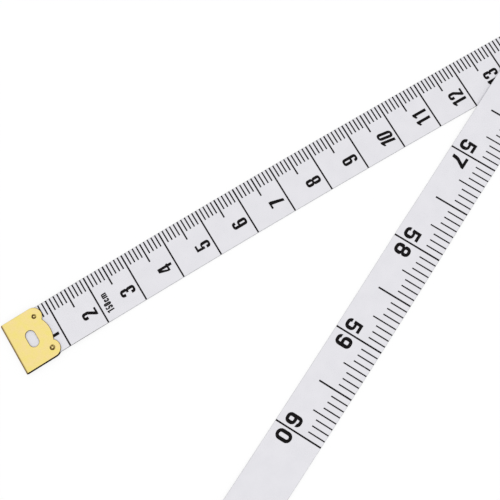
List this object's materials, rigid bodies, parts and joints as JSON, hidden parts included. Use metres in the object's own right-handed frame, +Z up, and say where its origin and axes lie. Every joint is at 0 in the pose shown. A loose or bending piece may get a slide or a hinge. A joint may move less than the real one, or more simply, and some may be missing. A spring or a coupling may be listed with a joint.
{
  "type": "cloth tape measure",
  "caption": "Flexible printed cloth tape measure with folded brass tips; both ends lie flat and cross, and the rest is wound as a doubled roll on edge.",
  "frame": {"origin": "the zero of the metric scale, at mid width of the tape, on the table plane, which is the underside of the metric tip", "axes": "+X along the metric end from its tip towards the crossing, +Y across it towards the edge with the millimetre lines, +Z up from the table"},
  "size_m": [0.2153, 0.1271, 0.0119],
  "materials": {
    "coated_tape": "white coated woven tape, satin",
    "print_ink": "black printed ink",
    "tip_brass": "satin yellow brass",
    "rivet_brass": "darker brass in dimples"
  },
  "bodies": {
    "root": {"metric_lead_tape": "coated_tape", "inch_lead_tape": "coated_tape", "tape_roll": "coated_tape"},
    "metric_end": {"metric_end_tape": "coated_tape", "metric_tip": "tip_brass", "metric_tip_rivet_left": "rivet_brass", "metric_tip_rivet_right": "rivet_brass"},
    "inch_end": {"inch_end_tape": "coated_tape", "inch_tip": "tip_brass", "inch_tip_rivet_left": "rivet_brass", "inch_tip_rivet_right": "rivet_brass"}
  },
  "joints": [
    {"name": "metric_end_lift", "type": "hinge", "parent": "root", "child": "metric_end", "pos_m": [0.10021, -0.00164, 0.00045], "axis": [0.0327, 0.9995, 0], "range_deg": [0, 90]},
    {"name": "inch_end_lift", "type": "hinge", "parent": "root", "child": "inch_end", "pos_m": [0.10432, -0.02199, 0.00045], "axis": [-0.4211, 0.907, 0], "range_deg": [0, 90]}
  ]
}
